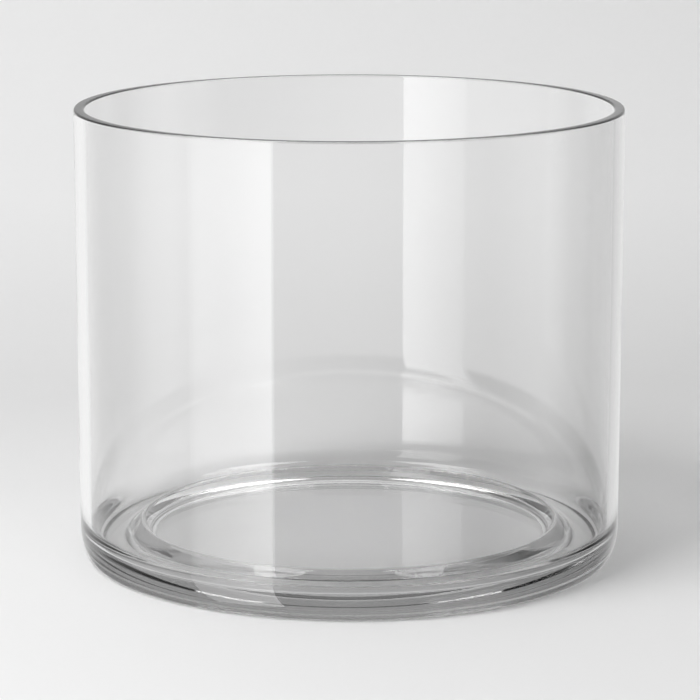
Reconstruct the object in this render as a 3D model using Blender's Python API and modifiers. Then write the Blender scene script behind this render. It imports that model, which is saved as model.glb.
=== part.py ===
"""Round straight-walled glass vessel with a thick base, turned from one profile.

Frame: metres, +Z up, origin at the centre of the ring that it stands on.
"""
import math

import bpy

# Driving dimensions
OUTER_RADIUS = 0.095
HEIGHT = 0.158
WALL_THICKNESS = 0.0037
RIM_ROUND = 0.0008            # radius of both edges of the fire-polished rim
HEEL_INSET = 0.00475          # how far the foot stands in from the wall
HEEL_RISE = 0.0114            # how high the outer wall starts to turn in
FLOOR_THICKNESS = 0.0081      # from the standing plane to the inner floor
FLOOR_CORNER_ROUND = 0.007    # inner corner between wall and floor

# Low raised ring pressed into the inner floor
RING_TOP = 0.0128
RING_OUTER_FOOT_RADIUS = 0.0784
RING_TOP_OUTER_RADIUS = 0.0736
RING_TOP_INNER_RADIUS = 0.0722
RING_INNER_FOOT_RADIUS = 0.0698
RING_OUTER_FOOT_ROUND = 0.0045
RING_TOP_OUTER_ROUND = 0.0016
RING_TOP_INNER_ROUND = 0.0011
RING_INNER_FOOT_ROUND = 0.003

# Underside
FOOT_RING_INNER_RADIUS = 0.0735
FOOT_RECESS_DEPTH = 0.002
FOOT_RECESS_SLOPE = 0.003     # width of the rounded step from the foot ring to the recess

# Resolution of the turned solid
TURN_STEPS = 96
HEEL_STEPS = 8
CORNER_STEPS = 8
RIM_STEPS = 4
RING_STEPS = 4
RECESS_STEPS = 4

INNER_RADIUS = OUTER_RADIUS - WALL_THICKNESS


def arc(centre, radii, start_deg, end_deg, steps):
    """Points of an elliptical arc in the (radius, height) plane, both ends included."""
    points = []
    for i in range(steps + 1):
        angle = math.radians(start_deg + (end_deg - start_deg) * i / steps)
        points.append((centre[0] + radii[0] * math.cos(angle),
                       centre[1] + radii[1] * math.sin(angle)))
    return points


def rounded_corner(before, corner, after, radius, steps):
    """An arc in place of a corner, touching the lines to the points before and after it."""
    to_before = math.atan2(before[1] - corner[1], before[0] - corner[0])
    to_after = math.atan2(after[1] - corner[1], after[0] - corner[0])
    opening = (to_after - to_before + math.pi) % math.tau - math.pi
    middle = to_before + opening / 2
    reach = radius / math.sin(abs(opening) / 2)
    centre = (corner[0] + reach * math.cos(middle), corner[1] + reach * math.sin(middle))
    side = math.copysign(math.pi / 2, opening)
    start_deg = math.degrees(to_before - side)
    turn_deg = math.degrees(side * 2 - opening)
    return arc(centre, (radius, radius), start_deg, start_deg - turn_deg, steps)


def inner_outline():
    """The axis at the inner floor, out over the raised ring and up the wall."""
    corners = [
        (0, FLOOR_THICKNESS, 0, 0),
        (RING_INNER_FOOT_RADIUS, FLOOR_THICKNESS, RING_INNER_FOOT_ROUND, RING_STEPS),
        (RING_TOP_INNER_RADIUS, RING_TOP, RING_TOP_INNER_ROUND, RING_STEPS),
        (RING_TOP_OUTER_RADIUS, RING_TOP, RING_TOP_OUTER_ROUND, RING_STEPS),
        (RING_OUTER_FOOT_RADIUS, FLOOR_THICKNESS, RING_OUTER_FOOT_ROUND, RING_STEPS),
        (INNER_RADIUS, FLOOR_THICKNESS, FLOOR_CORNER_ROUND, CORNER_STEPS),
        (INNER_RADIUS, HEIGHT, 0, 0),
    ]
    outline = [corners[0][:2]]
    for before, corner, after in zip(corners, corners[1:], corners[2:]):
        radius, steps = corner[2:]
        outline += rounded_corner(before[:2], corner[:2], after[:2], radius, steps)
    return outline


def rim_outline():
    """Over the rim, from the inner wall to the outer wall."""
    edge_height = HEIGHT - RIM_ROUND
    radii = (RIM_ROUND, RIM_ROUND)
    inner_edge = arc((INNER_RADIUS + RIM_ROUND, edge_height), radii, 180, 90, RIM_STEPS)
    outer_edge = arc((OUTER_RADIUS - RIM_ROUND, edge_height), radii, 90, 0, RIM_STEPS)
    return inner_edge + outer_edge


def outer_outline():
    """Down the outer wall, round the heel, and in along the underside to the axis."""
    heel_centre = (OUTER_RADIUS - HEEL_INSET, HEEL_RISE)
    heel = arc(heel_centre, (HEEL_INSET, HEEL_RISE), 0, -90, HEEL_STEPS)
    step_centre = (FOOT_RING_INNER_RADIUS - FOOT_RECESS_SLOPE, 0)
    recess_edge = arc(step_centre, (FOOT_RECESS_SLOPE, FOOT_RECESS_DEPTH), 0, 90, RECESS_STEPS)
    return heel + recess_edge + [(0, FOOT_RECESS_DEPTH)]


def glass_material():
    material = bpy.data.materials.new("soda_lime_glass")
    material.use_nodes = True
    shader = material.node_tree.nodes["Principled BSDF"]
    shader.inputs["Base Color"].default_value = (0.95, 0.97, 0.965, 1)
    shader.inputs["Metallic"].default_value = 0
    shader.inputs["Roughness"].default_value = 0.02
    shader.inputs["IOR"].default_value = 1.52
    shader.inputs["Transmission Weight"].default_value = 1
    return material


def turned_solid(name, outline, collection):
    """Turns an outline once round the Z axis with a Screw modifier."""
    mesh = bpy.data.meshes.new(name)
    vertices = [(radius, 0, height) for radius, height in outline]
    edges = [(i, i + 1) for i in range(len(outline) - 1)]
    mesh.from_pydata(vertices, edges, [])
    solid = bpy.data.objects.new(name, mesh)
    collection.objects.link(solid)
    screw = solid.modifiers.new("turn", "SCREW")
    screw.axis = "Z"
    screw.angle = math.tau
    screw.steps = TURN_STEPS
    screw.render_steps = TURN_STEPS
    screw.use_merge_vertices = True
    screw.merge_threshold = 0.00005
    screw.use_smooth_shade = True
    return solid


def build():
    for old in list(bpy.data.objects):
        bpy.data.objects.remove(old)
    vessel = bpy.data.collections.new("round_glass_vessel")
    bpy.context.scene.collection.children.link(vessel)
    outline = inner_outline() + rim_outline() + outer_outline()
    body = turned_solid("glass_vessel", outline, vessel)
    body.data.materials.append(glass_material())


build()
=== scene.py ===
# Round straight-walled glass vessel, one piece of clear glass with a heavy base.
import math

import bpy
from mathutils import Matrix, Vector

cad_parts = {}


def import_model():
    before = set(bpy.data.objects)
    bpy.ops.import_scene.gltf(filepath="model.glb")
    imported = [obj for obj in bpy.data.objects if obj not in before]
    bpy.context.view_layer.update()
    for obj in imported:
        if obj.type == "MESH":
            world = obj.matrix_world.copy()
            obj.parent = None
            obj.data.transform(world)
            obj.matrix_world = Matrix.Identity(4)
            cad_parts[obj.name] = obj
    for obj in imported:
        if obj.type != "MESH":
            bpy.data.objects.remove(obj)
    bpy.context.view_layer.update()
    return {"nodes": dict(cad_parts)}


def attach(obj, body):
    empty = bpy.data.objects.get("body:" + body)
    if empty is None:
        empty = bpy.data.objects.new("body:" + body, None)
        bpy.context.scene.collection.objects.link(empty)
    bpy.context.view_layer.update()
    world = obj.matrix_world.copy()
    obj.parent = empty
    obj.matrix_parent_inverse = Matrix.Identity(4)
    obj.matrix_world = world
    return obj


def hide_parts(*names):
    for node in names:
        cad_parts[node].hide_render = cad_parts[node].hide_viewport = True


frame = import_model()
print("frame loaded:", sorted(frame["nodes"]))

# All lengths are in metres. The origin is the centre of the foot ring, on the standing plane.
vessel = {
    "outerRadius": 0.095,
    "height": 0.158,
    "wall": 0.0037,
    "rimRound": 0.0008,        # both edges of the fire-polished rim
    "heelInset": 0.00475,      # how far the foot stands in from the wall
    "heelRise": 0.0114,        # how high the outer wall starts to turn in
    "footRingInner": 0.0735,   # inner edge of the flat ring that it stands on
    "recessDepth": 0.002,
    "recessSlope": 0.003,
    "floor": 0.0081,           # glass thickness under the inner floor, from the standing plane
    "floorRound": 0.007,       # inner corner between wall and floor
    "ringTop": 0.0128,         # low raised ring pressed into the inner floor
    # ring corners from outside to inside: radius, at the top or not, round
    "ringCorners": [(0.0784, False, 0.0045), (0.0736, True, 0.0016),
                    (0.0722, True, 0.0011), (0.0698, False, 0.003)],
    "stepsAround": 512,
    "heelSteps": 24,
    "floorRoundSteps": 20,
    "roundSteps": 10,
    "guard": 0.0006,           # short band at each end of a long run, which keeps shading in the rounds
    "longRun": 0.003,          # a run longer than this gets its guards
    "seamGap": 0.00002,        # points closer than this are merged at the seam and the axis
}


def arcPoints(centre, radii, startDegrees, endDegrees, steps):
    points = []
    for i in range(steps + 1):
        angle = math.radians(startDegrees + (endDegrees - startDegrees) * i / steps)
        points.append((centre[0] + radii[0] * math.cos(angle), centre[1] + radii[1] * math.sin(angle)))
    return points


def roundedCorner(before, corner, after, radius, steps):
    # an arc in place of the corner, touching both lines that meet there
    toBefore = math.atan2(before[1] - corner[1], before[0] - corner[0])
    toAfter = math.atan2(after[1] - corner[1], after[0] - corner[0])
    opening = (toAfter - toBefore + math.pi) % math.tau - math.pi
    middle = toBefore + opening / 2
    reach = radius / math.sin(abs(opening) / 2)
    centre = (corner[0] + reach * math.cos(middle), corner[1] + reach * math.sin(middle))
    side = math.copysign(math.pi / 2, opening)
    start = math.degrees(toBefore - side)
    turn = math.degrees(side * 2 - opening)
    return arcPoints(centre, (radius, radius), start, start - turn, steps)


def floorOutline(s):
    # down the inner wall, round onto the floor, over the raised ring and in to the axis
    inner = s["outerRadius"] - s["wall"]
    corners = [(inner, s["height"], 0), (inner, s["floor"], s["floorRound"])]
    corners += [(r, s["ringTop"] if top else s["floor"], rounding) for r, top, rounding in s["ringCorners"]]
    corners.append((0, s["floor"], 0))
    outline = []
    for before, corner, after in zip(corners, corners[1:], corners[2:]):
        steps = s["floorRoundSteps"] if corner[0] == inner else s["roundSteps"]
        outline += roundedCorner(before[:2], corner[:2], after[:2], corner[2], steps)
    return outline + [corners[-1][:2]]


def vesselOutline(s):
    # underside on the axis, out to the foot, up the outer wall, over the rim, down inside
    ringEdge = s["footRingInner"] - s["recessSlope"]
    outline = [(0, s["recessDepth"])]
    outline += arcPoints((ringEdge, 0), (s["recessSlope"], s["recessDepth"]), 90, 0, s["roundSteps"])
    heelCentre = (s["outerRadius"] - s["heelInset"], s["heelRise"])
    outline += arcPoints(heelCentre, (s["heelInset"], s["heelRise"]), -90, 0, s["heelSteps"])
    edgeHeight = s["height"] - s["rimRound"]
    rimRadii = (s["rimRound"], s["rimRound"])
    outline += arcPoints((s["outerRadius"] - s["rimRound"], edgeHeight), rimRadii, 0, 90, s["roundSteps"])
    innerEdge = s["outerRadius"] - s["wall"] + s["rimRound"]
    outline += arcPoints((innerEdge, edgeHeight), rimRadii, 90, 180, s["roundSteps"])
    outline += floorOutline(s)
    guarded = [outline[0]]
    for start, end in zip(outline, outline[1:]):
        run = math.dist(start, end)
        if run > s["longRun"]:
            for share in (s["guard"] / run, 1 - s["guard"] / run):
                point = [a + (b - a) * share for a, b in zip(start, end)]
                if point[0] > s["longRun"]:
                    guarded.append(tuple(point))
        guarded.append(end)
    return guarded


def addNode(tree, kind, settings=None, links=None):
    # settings: node properties by name, or input values by socket name or number
    # links: {input name or number: (node, output name or number)}
    node = tree.nodes.new(kind)
    for name, value in (settings or {}).items():
        if isinstance(name, str) and hasattr(node, name):
            setattr(node, name, value)
        else:
            node.inputs[name].default_value = value
    for name, (source, output) in (links or {}).items():
        tree.links.new(source.outputs[output], node.inputs[name])
    return node


def turningTree():
    # Turns an outline of points (radius in X, height in Z) once round the Z axis.
    tree = bpy.data.node_groups.new("turnOutline", "GeometryNodeTree")
    face = tree.interface
    face.new_socket("Outline", in_out="INPUT", socket_type="NodeSocketGeometry")
    face.new_socket("Steps Around", in_out="INPUT", socket_type="NodeSocketInt")
    face.new_socket("Seam Gap", in_out="INPUT", socket_type="NodeSocketFloat")
    face.new_socket("Glass", in_out="INPUT", socket_type="NodeSocketMaterial")
    face.new_socket("Geometry", in_out="OUTPUT", socket_type="NodeSocketGeometry")
    given = addNode(tree, "NodeGroupInput")
    count = addNode(tree, "GeometryNodeAttributeDomainSize", {"component": "MESH"},
                    {"Geometry": (given, "Outline")})
    columns = addNode(tree, "ShaderNodeMath", {"operation": "ADD", 1: 1}, {0: (given, "Steps Around")})
    grid = addNode(tree, "GeometryNodeMeshGrid", {},
                   {"Vertices X": (columns, 0), "Vertices Y": (count, "Point Count")})
    index = addNode(tree, "GeometryNodeInputIndex")
    along = addNode(tree, "ShaderNodeMath", {"operation": "MODULO"},
                    {0: (index, 0), 1: (count, "Point Count")})
    division = addNode(tree, "ShaderNodeMath", {"operation": "DIVIDE"},
                       {0: (index, 0), 1: (count, "Point Count")})
    column = addNode(tree, "ShaderNodeMath", {"operation": "FLOOR"}, {0: (division, 0)})
    turn = addNode(tree, "ShaderNodeMath", {"operation": "DIVIDE"},
                   {0: (column, 0), 1: (given, "Steps Around")})
    angle = addNode(tree, "ShaderNodeMath", {"operation": "MULTIPLY", 1: math.tau}, {0: (turn, 0)})
    place = addNode(tree, "GeometryNodeInputPosition")
    picked = addNode(tree, "GeometryNodeSampleIndex", {"data_type": "FLOAT_VECTOR"},
                     {"Geometry": (given, "Outline"), "Value": (place, 0), "Index": (along, 0)})
    turned = addNode(tree, "ShaderNodeVectorRotate", {"rotation_type": "Z_AXIS"},
                     {"Vector": (picked, "Value"), "Angle": (angle, 0)})
    skin = addNode(tree, "GeometryNodeSetPosition", {},
                   {"Geometry": (grid, "Mesh"), "Position": (turned, 0)})
    closed = addNode(tree, "GeometryNodeMergeByDistance", {},
                     {"Geometry": (skin, 0), "Distance": (given, "Seam Gap")})
    smooth = addNode(tree, "GeometryNodeSetShadeSmooth", {}, {"Geometry": (closed, 0)})
    real = addNode(tree, "GeometryNodeRealizeInstances", {}, {"Geometry": (smooth, 0)})
    coated = addNode(tree, "GeometryNodeSetMaterial", {},
                     {"Geometry": (real, 0), "Material": (given, "Glass")})
    addNode(tree, "NodeGroupOutput", {}, {"Geometry": (coated, 0)})
    return tree


def linearColour(hexText):
    channels = [int(hexText[i:i + 2], 16) / 255 for i in (0, 2, 4)]
    return [c / 12.92 if c <= 0.04045 else ((c + 0.055) / 1.055) ** 2.4 for c in channels] + [1]


def stopsRamp(tree, source, stops):
    # a grey ramp through (place, level) stops; the first place is 0 and the last is 1
    node = addNode(tree, "ShaderNodeValToRGB", {}, {"Fac": (source, 0)})
    elements = node.color_ramp.elements
    for i, (place, level) in enumerate(stops):
        element = elements[0] if i == 0 else elements[-1] if i == len(stops) - 1 else elements.new(place)
        element.color = (level, level, level, 1)
    return node


glassFinish = {
    "colour": "fefefe",
    "ior": 1.52,
    "absorptionColour": "bcbcbc",   # what the thick base does to light, per length below
    "absorptionDensity": 8.0,
    "smearScale": 55.0,             # one per 18 mm: faint wipe marks
    "smearDetail": 3,
    "smearBreakUp": 0.6,
    "smearBand": (0.55, 0.75),      # only the noise above the first value shows as a mark
    "smearRoughness": 0.02,
    "waveScale": 22.0,              # one per 45 mm: the slow wave of a mould-blown wall
    "waveHeight": 0.00002,
    "wearScale": 1400.0,            # 0.7 mm, coarser than real bench scratches so that it shows
    "wearBand": (0.5, 0.7),
    "wearRoughness": 0.01,
    "wearTop": 0.0004,              # wear stops this high above the bench
}


def glassMaterial(s):
    # Soda-lime glass, mould-blown and fire-polished: clear, with grey depth where it is thick,
    # a slow wave in what it mirrors, and fine bench wear on the ring that it stands on.
    material = bpy.data.materials.new("sodaLimeGlassFirePolished")
    material.use_nodes = True
    tree = material.node_tree
    shader = tree.nodes["Principled BSDF"]
    shader.inputs["Base Color"].default_value = linearColour(s["colour"])
    shader.inputs["IOR"].default_value = s["ior"]
    shader.inputs["Transmission Weight"].default_value = 1
    place = addNode(tree, "ShaderNodeTexCoord")
    smear = addNode(tree, "ShaderNodeTexNoise",
                    {"Scale": s["smearScale"], "Detail": s["smearDetail"], "Roughness": s["smearBreakUp"]},
                    {"Vector": (place, "Object")})
    smearRough = addNode(tree, "ShaderNodeMapRange",
                         {"From Min": s["smearBand"][0], "From Max": s["smearBand"][1],
                          "To Min": 0.0, "To Max": s["smearRoughness"]},
                         {"Value": (smear, "Fac")})
    wear = addNode(tree, "ShaderNodeTexNoise", {"Scale": s["wearScale"], "Detail": 2},
                   {"Vector": (place, "Object")})
    parts = addNode(tree, "ShaderNodeSeparateXYZ", {}, {0: (place, "Object")})
    onFoot = addNode(tree, "ShaderNodeMath", {"operation": "LESS_THAN", 1: s["wearTop"]}, {0: (parts, "Z")})
    wearRough = addNode(tree, "ShaderNodeMapRange",
                        {"From Min": s["wearBand"][0], "From Max": s["wearBand"][1],
                         "To Min": 0.0, "To Max": s["wearRoughness"]},
                        {"Value": (wear, "Fac")})
    footRough = addNode(tree, "ShaderNodeMath", {"operation": "MULTIPLY"},
                        {0: (wearRough, 0), 1: (onFoot, 0)})
    allRough = addNode(tree, "ShaderNodeMath", {"operation": "ADD"},
                       {0: (smearRough, 0), 1: (footRough, 0)})
    tree.links.new(allRough.outputs[0], shader.inputs["Roughness"])
    wave = addNode(tree, "ShaderNodeTexNoise", {"Scale": s["waveScale"], "Detail": 1},
                   {"Vector": (place, "Object")})
    bump = addNode(tree, "ShaderNodeBump", {"Strength": 1, "Distance": s["waveHeight"]},
                   {"Height": (wave, "Fac")})
    tree.links.new(bump.outputs[0], shader.inputs["Normal"])
    depth = addNode(tree, "ShaderNodeVolumeAbsorption",
                    {"Color": linearColour(s["absorptionColour"]), "Density": s["absorptionDensity"]})
    tree.links.new(depth.outputs[0], tree.nodes["Material Output"].inputs["Volume"])
    return material


def turnedPiece(name, outline, s, material):
    mesh = bpy.data.meshes.new(name + "Outline")
    edges = [(i, i + 1) for i in range(len(outline) - 1)]
    mesh.from_pydata([(radius, 0, height) for radius, height in outline], edges, [])
    sketch = bpy.data.objects.new(name + "Sketch", mesh)
    bpy.context.scene.collection.objects.link(sketch)
    tree = turningTree()
    turning = sketch.modifiers.new("turning", "NODES")
    turning.node_group = tree
    values = {"Steps Around": s["stepsAround"], "Seam Gap": s["seamGap"], "Glass": material}
    for item in tree.interface.items_tree:
        if item.in_out == "INPUT" and item.name in values:
            turning[item.identifier] = values[item.name]
    turnedSketch = sketch.evaluated_get(bpy.context.evaluated_depsgraph_get())
    turnedMesh = bpy.data.meshes.new_from_object(turnedSketch)
    sketch.modifiers.clear()
    bpy.data.objects.remove(sketch)
    turnedMesh.name = name
    piece = bpy.data.objects.new(name, turnedMesh)
    bpy.context.scene.collection.objects.link(piece)
    return piece


glassVessel = turnedPiece("vesselGlass", vesselOutline(vessel), vessel, glassMaterial(glassFinish))
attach(glassVessel, "root")
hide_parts("glass_vessel")
print("vessel turned:", len(glassVessel.data.polygons), "faces")

stage = {
    "floorDrop": 0.00015,      # keeps the floor and the foot from lying in one plane
    "halfWidth": 2.4,
    "front": -2.4,
    "foldStart": 0.24,
    "foldRadius": 0.22,
    "foldSteps": 24,
    "wallTop": 1.2,
    "colour": "f3f3f3",
    "fibreColour": "f1f1f1",
    "fibreScale": 500.0,       # 2 mm clumps of pulp
    "fibreDetail": 4,
    "roughness": 0.9,
    "gloss": 0.1,
    # painted shade on the paper: how light it is, by distance back plus height; darker towards the fold,
    # darkest where it starts, lighter again up the wall
    "paintedShadeStops": [(-0.1, 0.97), (0.0, 0.95), (0.14, 0.94), (0.28, 0.9), (0.36, 0.93), (0.46, 1.0)],
}


def sweepMaterial(s):
    # Matt paper sweep: no gloss, a very faint fibre in its tone, and painted shade that darkens it towards
    # the fold. It is clear from its back, so that the vessel shows from behind, and for light that the
    # glass has mirrored.
    material = bpy.data.materials.new("paperSweepMatt")
    material.use_nodes = True
    tree = material.node_tree
    shader = tree.nodes["Principled BSDF"]
    shader.inputs["Roughness"].default_value = s["roughness"]
    shader.inputs["Specular IOR Level"].default_value = s["gloss"]
    place = addNode(tree, "ShaderNodeTexCoord")
    fibre = addNode(tree, "ShaderNodeTexNoise", {"Scale": s["fibreScale"], "Detail": s["fibreDetail"]},
                    {"Vector": (place, "Object")})
    tone = addNode(tree, "ShaderNodeMix",
                   {"data_type": "RGBA", 6: linearColour(s["fibreColour"]), 7: linearColour(s["colour"])},
                   {0: (fibre, "Fac")})
    # painted shade: a ramp over distance back plus height darkens the paper's colour, most along the fold
    parts = addNode(tree, "ShaderNodeSeparateXYZ", {}, {0: (place, "Object")})
    back = addNode(tree, "ShaderNodeMath", {"operation": "ADD"}, {0: (parts, "Y"), 1: (parts, "Z")})
    first, last = s["paintedShadeStops"][0][0], s["paintedShadeStops"][-1][0]
    share = addNode(tree, "ShaderNodeMapRange", {"From Min": first, "From Max": last},
                    {"Value": (back, 0)})
    paintedShadeStops = [((at - first) / (last - first), light) for at, light in s["paintedShadeStops"]]
    shade = stopsRamp(tree, share, paintedShadeStops)
    # the painted shade multiplied into the paper's tone
    paintedShadeTone = addNode(tree, "ShaderNodeMix", {"data_type": "RGBA", "blend_type": "MULTIPLY", 0: 1},
                     {6: (tone, 2), 7: (shade, 0)})
    tree.links.new(paintedShadeTone.outputs[2], shader.inputs["Base Color"])
    path = addNode(tree, "ShaderNodeLightPath")
    mirrored = addNode(tree, "ShaderNodeMath", {"operation": "GREATER_THAN", 1: 0.5},
                       {0: (path, "Glossy Depth")})
    gone = addNode(tree, "ShaderNodeBsdfTransparent")
    side = addNode(tree, "ShaderNodeNewGeometry")
    hidden = addNode(tree, "ShaderNodeMath", {"operation": "MAXIMUM"},
                     {0: (mirrored, 0), 1: (side, "Backfacing")})
    mix = addNode(tree, "ShaderNodeMixShader", {},
                  {0: (hidden, 0), 1: (shader, 0), 2: (gone, 0)})
    tree.links.new(mix.outputs[0], tree.nodes["Material Output"].inputs["Surface"])
    return material


def sweep(s):
    line = [(s["front"], 0)]
    line += [(s["foldStart"] + s["foldRadius"] * math.sin(a), s["foldRadius"] * (1 - math.cos(a)))
             for a in (math.radians(90 * i / s["foldSteps"]) for i in range(s["foldSteps"] + 1))]
    line.append((line[-1][0], s["wallTop"]))
    verts = [(x, y, z - s["floorDrop"]) for y, z in line for x in (-s["halfWidth"], s["halfWidth"])]
    faces = [(2 * i, 2 * i + 1, 2 * i + 3, 2 * i + 2) for i in range(len(line) - 1)]
    mesh = bpy.data.meshes.new("sweep")
    mesh.from_pydata(verts, [], faces)
    mesh.shade_smooth()
    mesh.materials.append(sweepMaterial(s))
    piece = bpy.data.objects.new("sweep", mesh)
    bpy.context.scene.collection.objects.link(piece)


sweep(stage)

# Lamps light the paper. The world is what the glass mirrors: the studio's light walls with dark gaps,
# which give clear glass its outlines. Rings list strengths clockwise from behind the vessel.
lights = {
    "world": {
        "rings": [
            [0.35],                                       # straight down
            [0.43, 0.1, 0.0, 0.0, 0.0, 0.33],
            [0.88, 0.68, 0.15, 0.8, 0.0, 0.42, 0.8, 1.1, 1.57, 1.37, 0.61, 0.94],
            [0.62, 0.5, 0.0, 0.0, 0.0, 0.35],
            [1.0, 0.5, 0.1, 0.0, 0.0, 0.1],
            [0.4],                                        # straight up
        ],
        # heights of the view direction over which one ring blends into the next
        "edges": [(-0.8, -0.7), (-0.4, -0.3), (-0.02, 0.06), (0.45, 0.6), (0.85, 0.92)],
        "paper": 0.37,                                    # even light on the paper
        "backdrop": 0.75,                                 # past the paper's edges
        "rampTop": 2.0,                                   # the largest strength that a ring can hold
    },
    "key": {"place": (-0.588, -0.708, 0.771), "size": 0.5, "power": 2.2},
    "side": {"place": (-0.3, -0.95, 0.65), "size": 0.5, "power": 2.0},
    "fill": {"place": (-0.42, -0.42, 1.02), "size": 0.45, "power": 5.0},
    "cards": {
        # four corners, strength, share of it at the first and the second edge
        "windowCard": ([(-0.175, -0.333, -0.3), (-0.319, -0.18, -0.3), (-0.319, -0.18, 0.4),
                        (-0.175, -0.333, 0.4)], 3.6, (1, 0.58)),
        "stripLeft": ([(-0.35, 0.15, 1.0), (-0.75, 0.15, 1.0), (-0.65, -0.35, 1.25),
                       (-0.25, -0.35, 1.25)], 6.0, (1, 1)),
        "stripRight": ([(0.75, 0.15, 1.0), (0.35, 0.15, 1.0), (0.25, -0.35, 1.25),
                        (0.65, -0.35, 1.25)], 6.0, (1, 1)),
    },
}


def ringRamp(tree, around, strengths, rampTop):
    # strengths at even steps round the horizon, the last step closing on the first
    closed = strengths + strengths[:1]
    stops = [(i / len(strengths), value / rampTop) for i, value in enumerate(closed)]
    return stopsRamp(tree, around, stops)


def world(s):
    made = bpy.data.worlds.new("softSurround")
    bpy.context.scene.world = made
    made.use_nodes = True
    tree = made.node_tree
    place = addNode(tree, "ShaderNodeTexCoord")
    parts = addNode(tree, "ShaderNodeSeparateXYZ", {}, {0: (place, "Generated")})
    angle = addNode(tree, "ShaderNodeMath", {"operation": "ARCTAN2"}, {0: (parts, "X"), 1: (parts, "Y")})
    positive = addNode(tree, "ShaderNodeMath", {"operation": "WRAP", 1: math.tau, 2: 0}, {0: (angle, 0)})
    around = addNode(tree, "ShaderNodeMath", {"operation": "DIVIDE", 1: math.tau}, {0: (positive, 0)})
    level = ringRamp(tree, around, s["rings"][0], s["rampTop"])
    for strengths, edge in zip(s["rings"][1:], s["edges"]):
        blend = addNode(tree, "ShaderNodeMapRange", {"From Min": edge[0], "From Max": edge[1]},
                        {"Value": (parts, "Z")})
        ring = ringRamp(tree, around, strengths, s["rampTop"])
        level = addNode(tree, "ShaderNodeMix", {"data_type": "FLOAT"},
                        {0: (blend, 0), 2: (level, 0), 3: (ring, 0)})
    whole = addNode(tree, "ShaderNodeMath", {"operation": "MULTIPLY", 1: s["rampTop"]}, {0: (level, 0)})
    path = addNode(tree, "ShaderNodeLightPath")
    chosen = addNode(tree, "ShaderNodeMix", {"data_type": "FLOAT", 3: s["paper"]},
                     {0: (path, "Is Diffuse Ray"), 2: (whole, 0)})
    seen = addNode(tree, "ShaderNodeMix", {"data_type": "FLOAT", 3: s["backdrop"]},
                   {0: (path, "Is Camera Ray"), 2: (chosen, 0)})
    tree.links.new(seen.outputs[0], tree.nodes["Background"].inputs["Strength"])
    tree.nodes["Background"].inputs["Color"].default_value = (1, 1, 1, 1)


world(lights["world"])


def lamp(name, s):
    data = bpy.data.lights.new(name, "AREA")
    data.size = s["size"]
    data.energy = s["power"]
    data.cycles.use_multiple_importance_sampling = False    # keeps the lamp out of the glass
    piece = bpy.data.objects.new(name, data)
    bpy.context.scene.collection.objects.link(piece)
    piece.location = s["place"]
    piece.rotation_euler = Vector(s["place"]).to_track_quat("Z", "Y").to_euler()


for lampName in ("key", "side", "fill"):
    lamp(lampName, lights[lampName])


def card(name, corners, strength, shade):
    # a lit panel that only the glass sees
    mesh = bpy.data.meshes.new(name)
    mesh.from_pydata(corners, [], [(0, 1, 2, 3)])
    uv = mesh.uv_layers.new(name="card")
    for loop, at in zip(uv.data, ((0, 0), (1, 0), (1, 1), (0, 1))):
        loop.uv = at
    material = bpy.data.materials.new(name)
    material.use_nodes = True
    tree = material.node_tree
    tree.nodes.remove(tree.nodes["Principled BSDF"])
    place = addNode(tree, "ShaderNodeTexCoord")
    parts = addNode(tree, "ShaderNodeSeparateXYZ", {}, {0: (place, "UV")})
    level = addNode(tree, "ShaderNodeMapRange",
                    {"To Min": shade[0] * strength, "To Max": shade[1] * strength},
                    {"Value": (parts, "X")})
    glow = addNode(tree, "ShaderNodeEmission", {}, {"Strength": (level, 0)})
    tree.links.new(glow.outputs[0], tree.nodes["Material Output"].inputs["Surface"])
    mesh.materials.append(material)
    piece = bpy.data.objects.new(name, mesh)
    bpy.context.scene.collection.objects.link(piece)
    piece.visible_camera = False
    piece.visible_diffuse = False
    piece.visible_shadow = False


for cardName, setting in lights["cards"].items():
    card(cardName, *setting)
print("stage and light made")

view = {
    "place": (0, -1.0621, 0.28942),
    "pitch": 0.2022,
    "yaw": 0.00026,
    "focalOverWidth": 4.412,
    "sensor": 36,
    "nearest": 0.01,
}


def camera(s):
    data = bpy.data.cameras.new("camera")
    data.sensor_width = s["sensor"]
    data.lens = s["sensor"] * s["focalOverWidth"]
    data.clip_start = s["nearest"]
    piece = bpy.data.objects.new("camera", data)
    bpy.context.scene.collection.objects.link(piece)
    piece.location = s["place"]
    piece.rotation_euler = (math.pi / 2 - s["pitch"], 0, -s["yaw"])
    bpy.context.scene.camera = piece


camera(view)
scene = bpy.context.scene
scene.view_settings.view_transform = "Standard"
# light turns many times inside the base before it gets out
bounces = {"max_bounces": 24, "transmission_bounces": 24, "glossy_bounces": 16,
           "transparent_max_bounces": 16}
for limit, count in bounces.items():
    setattr(scene.cycles, limit, count)
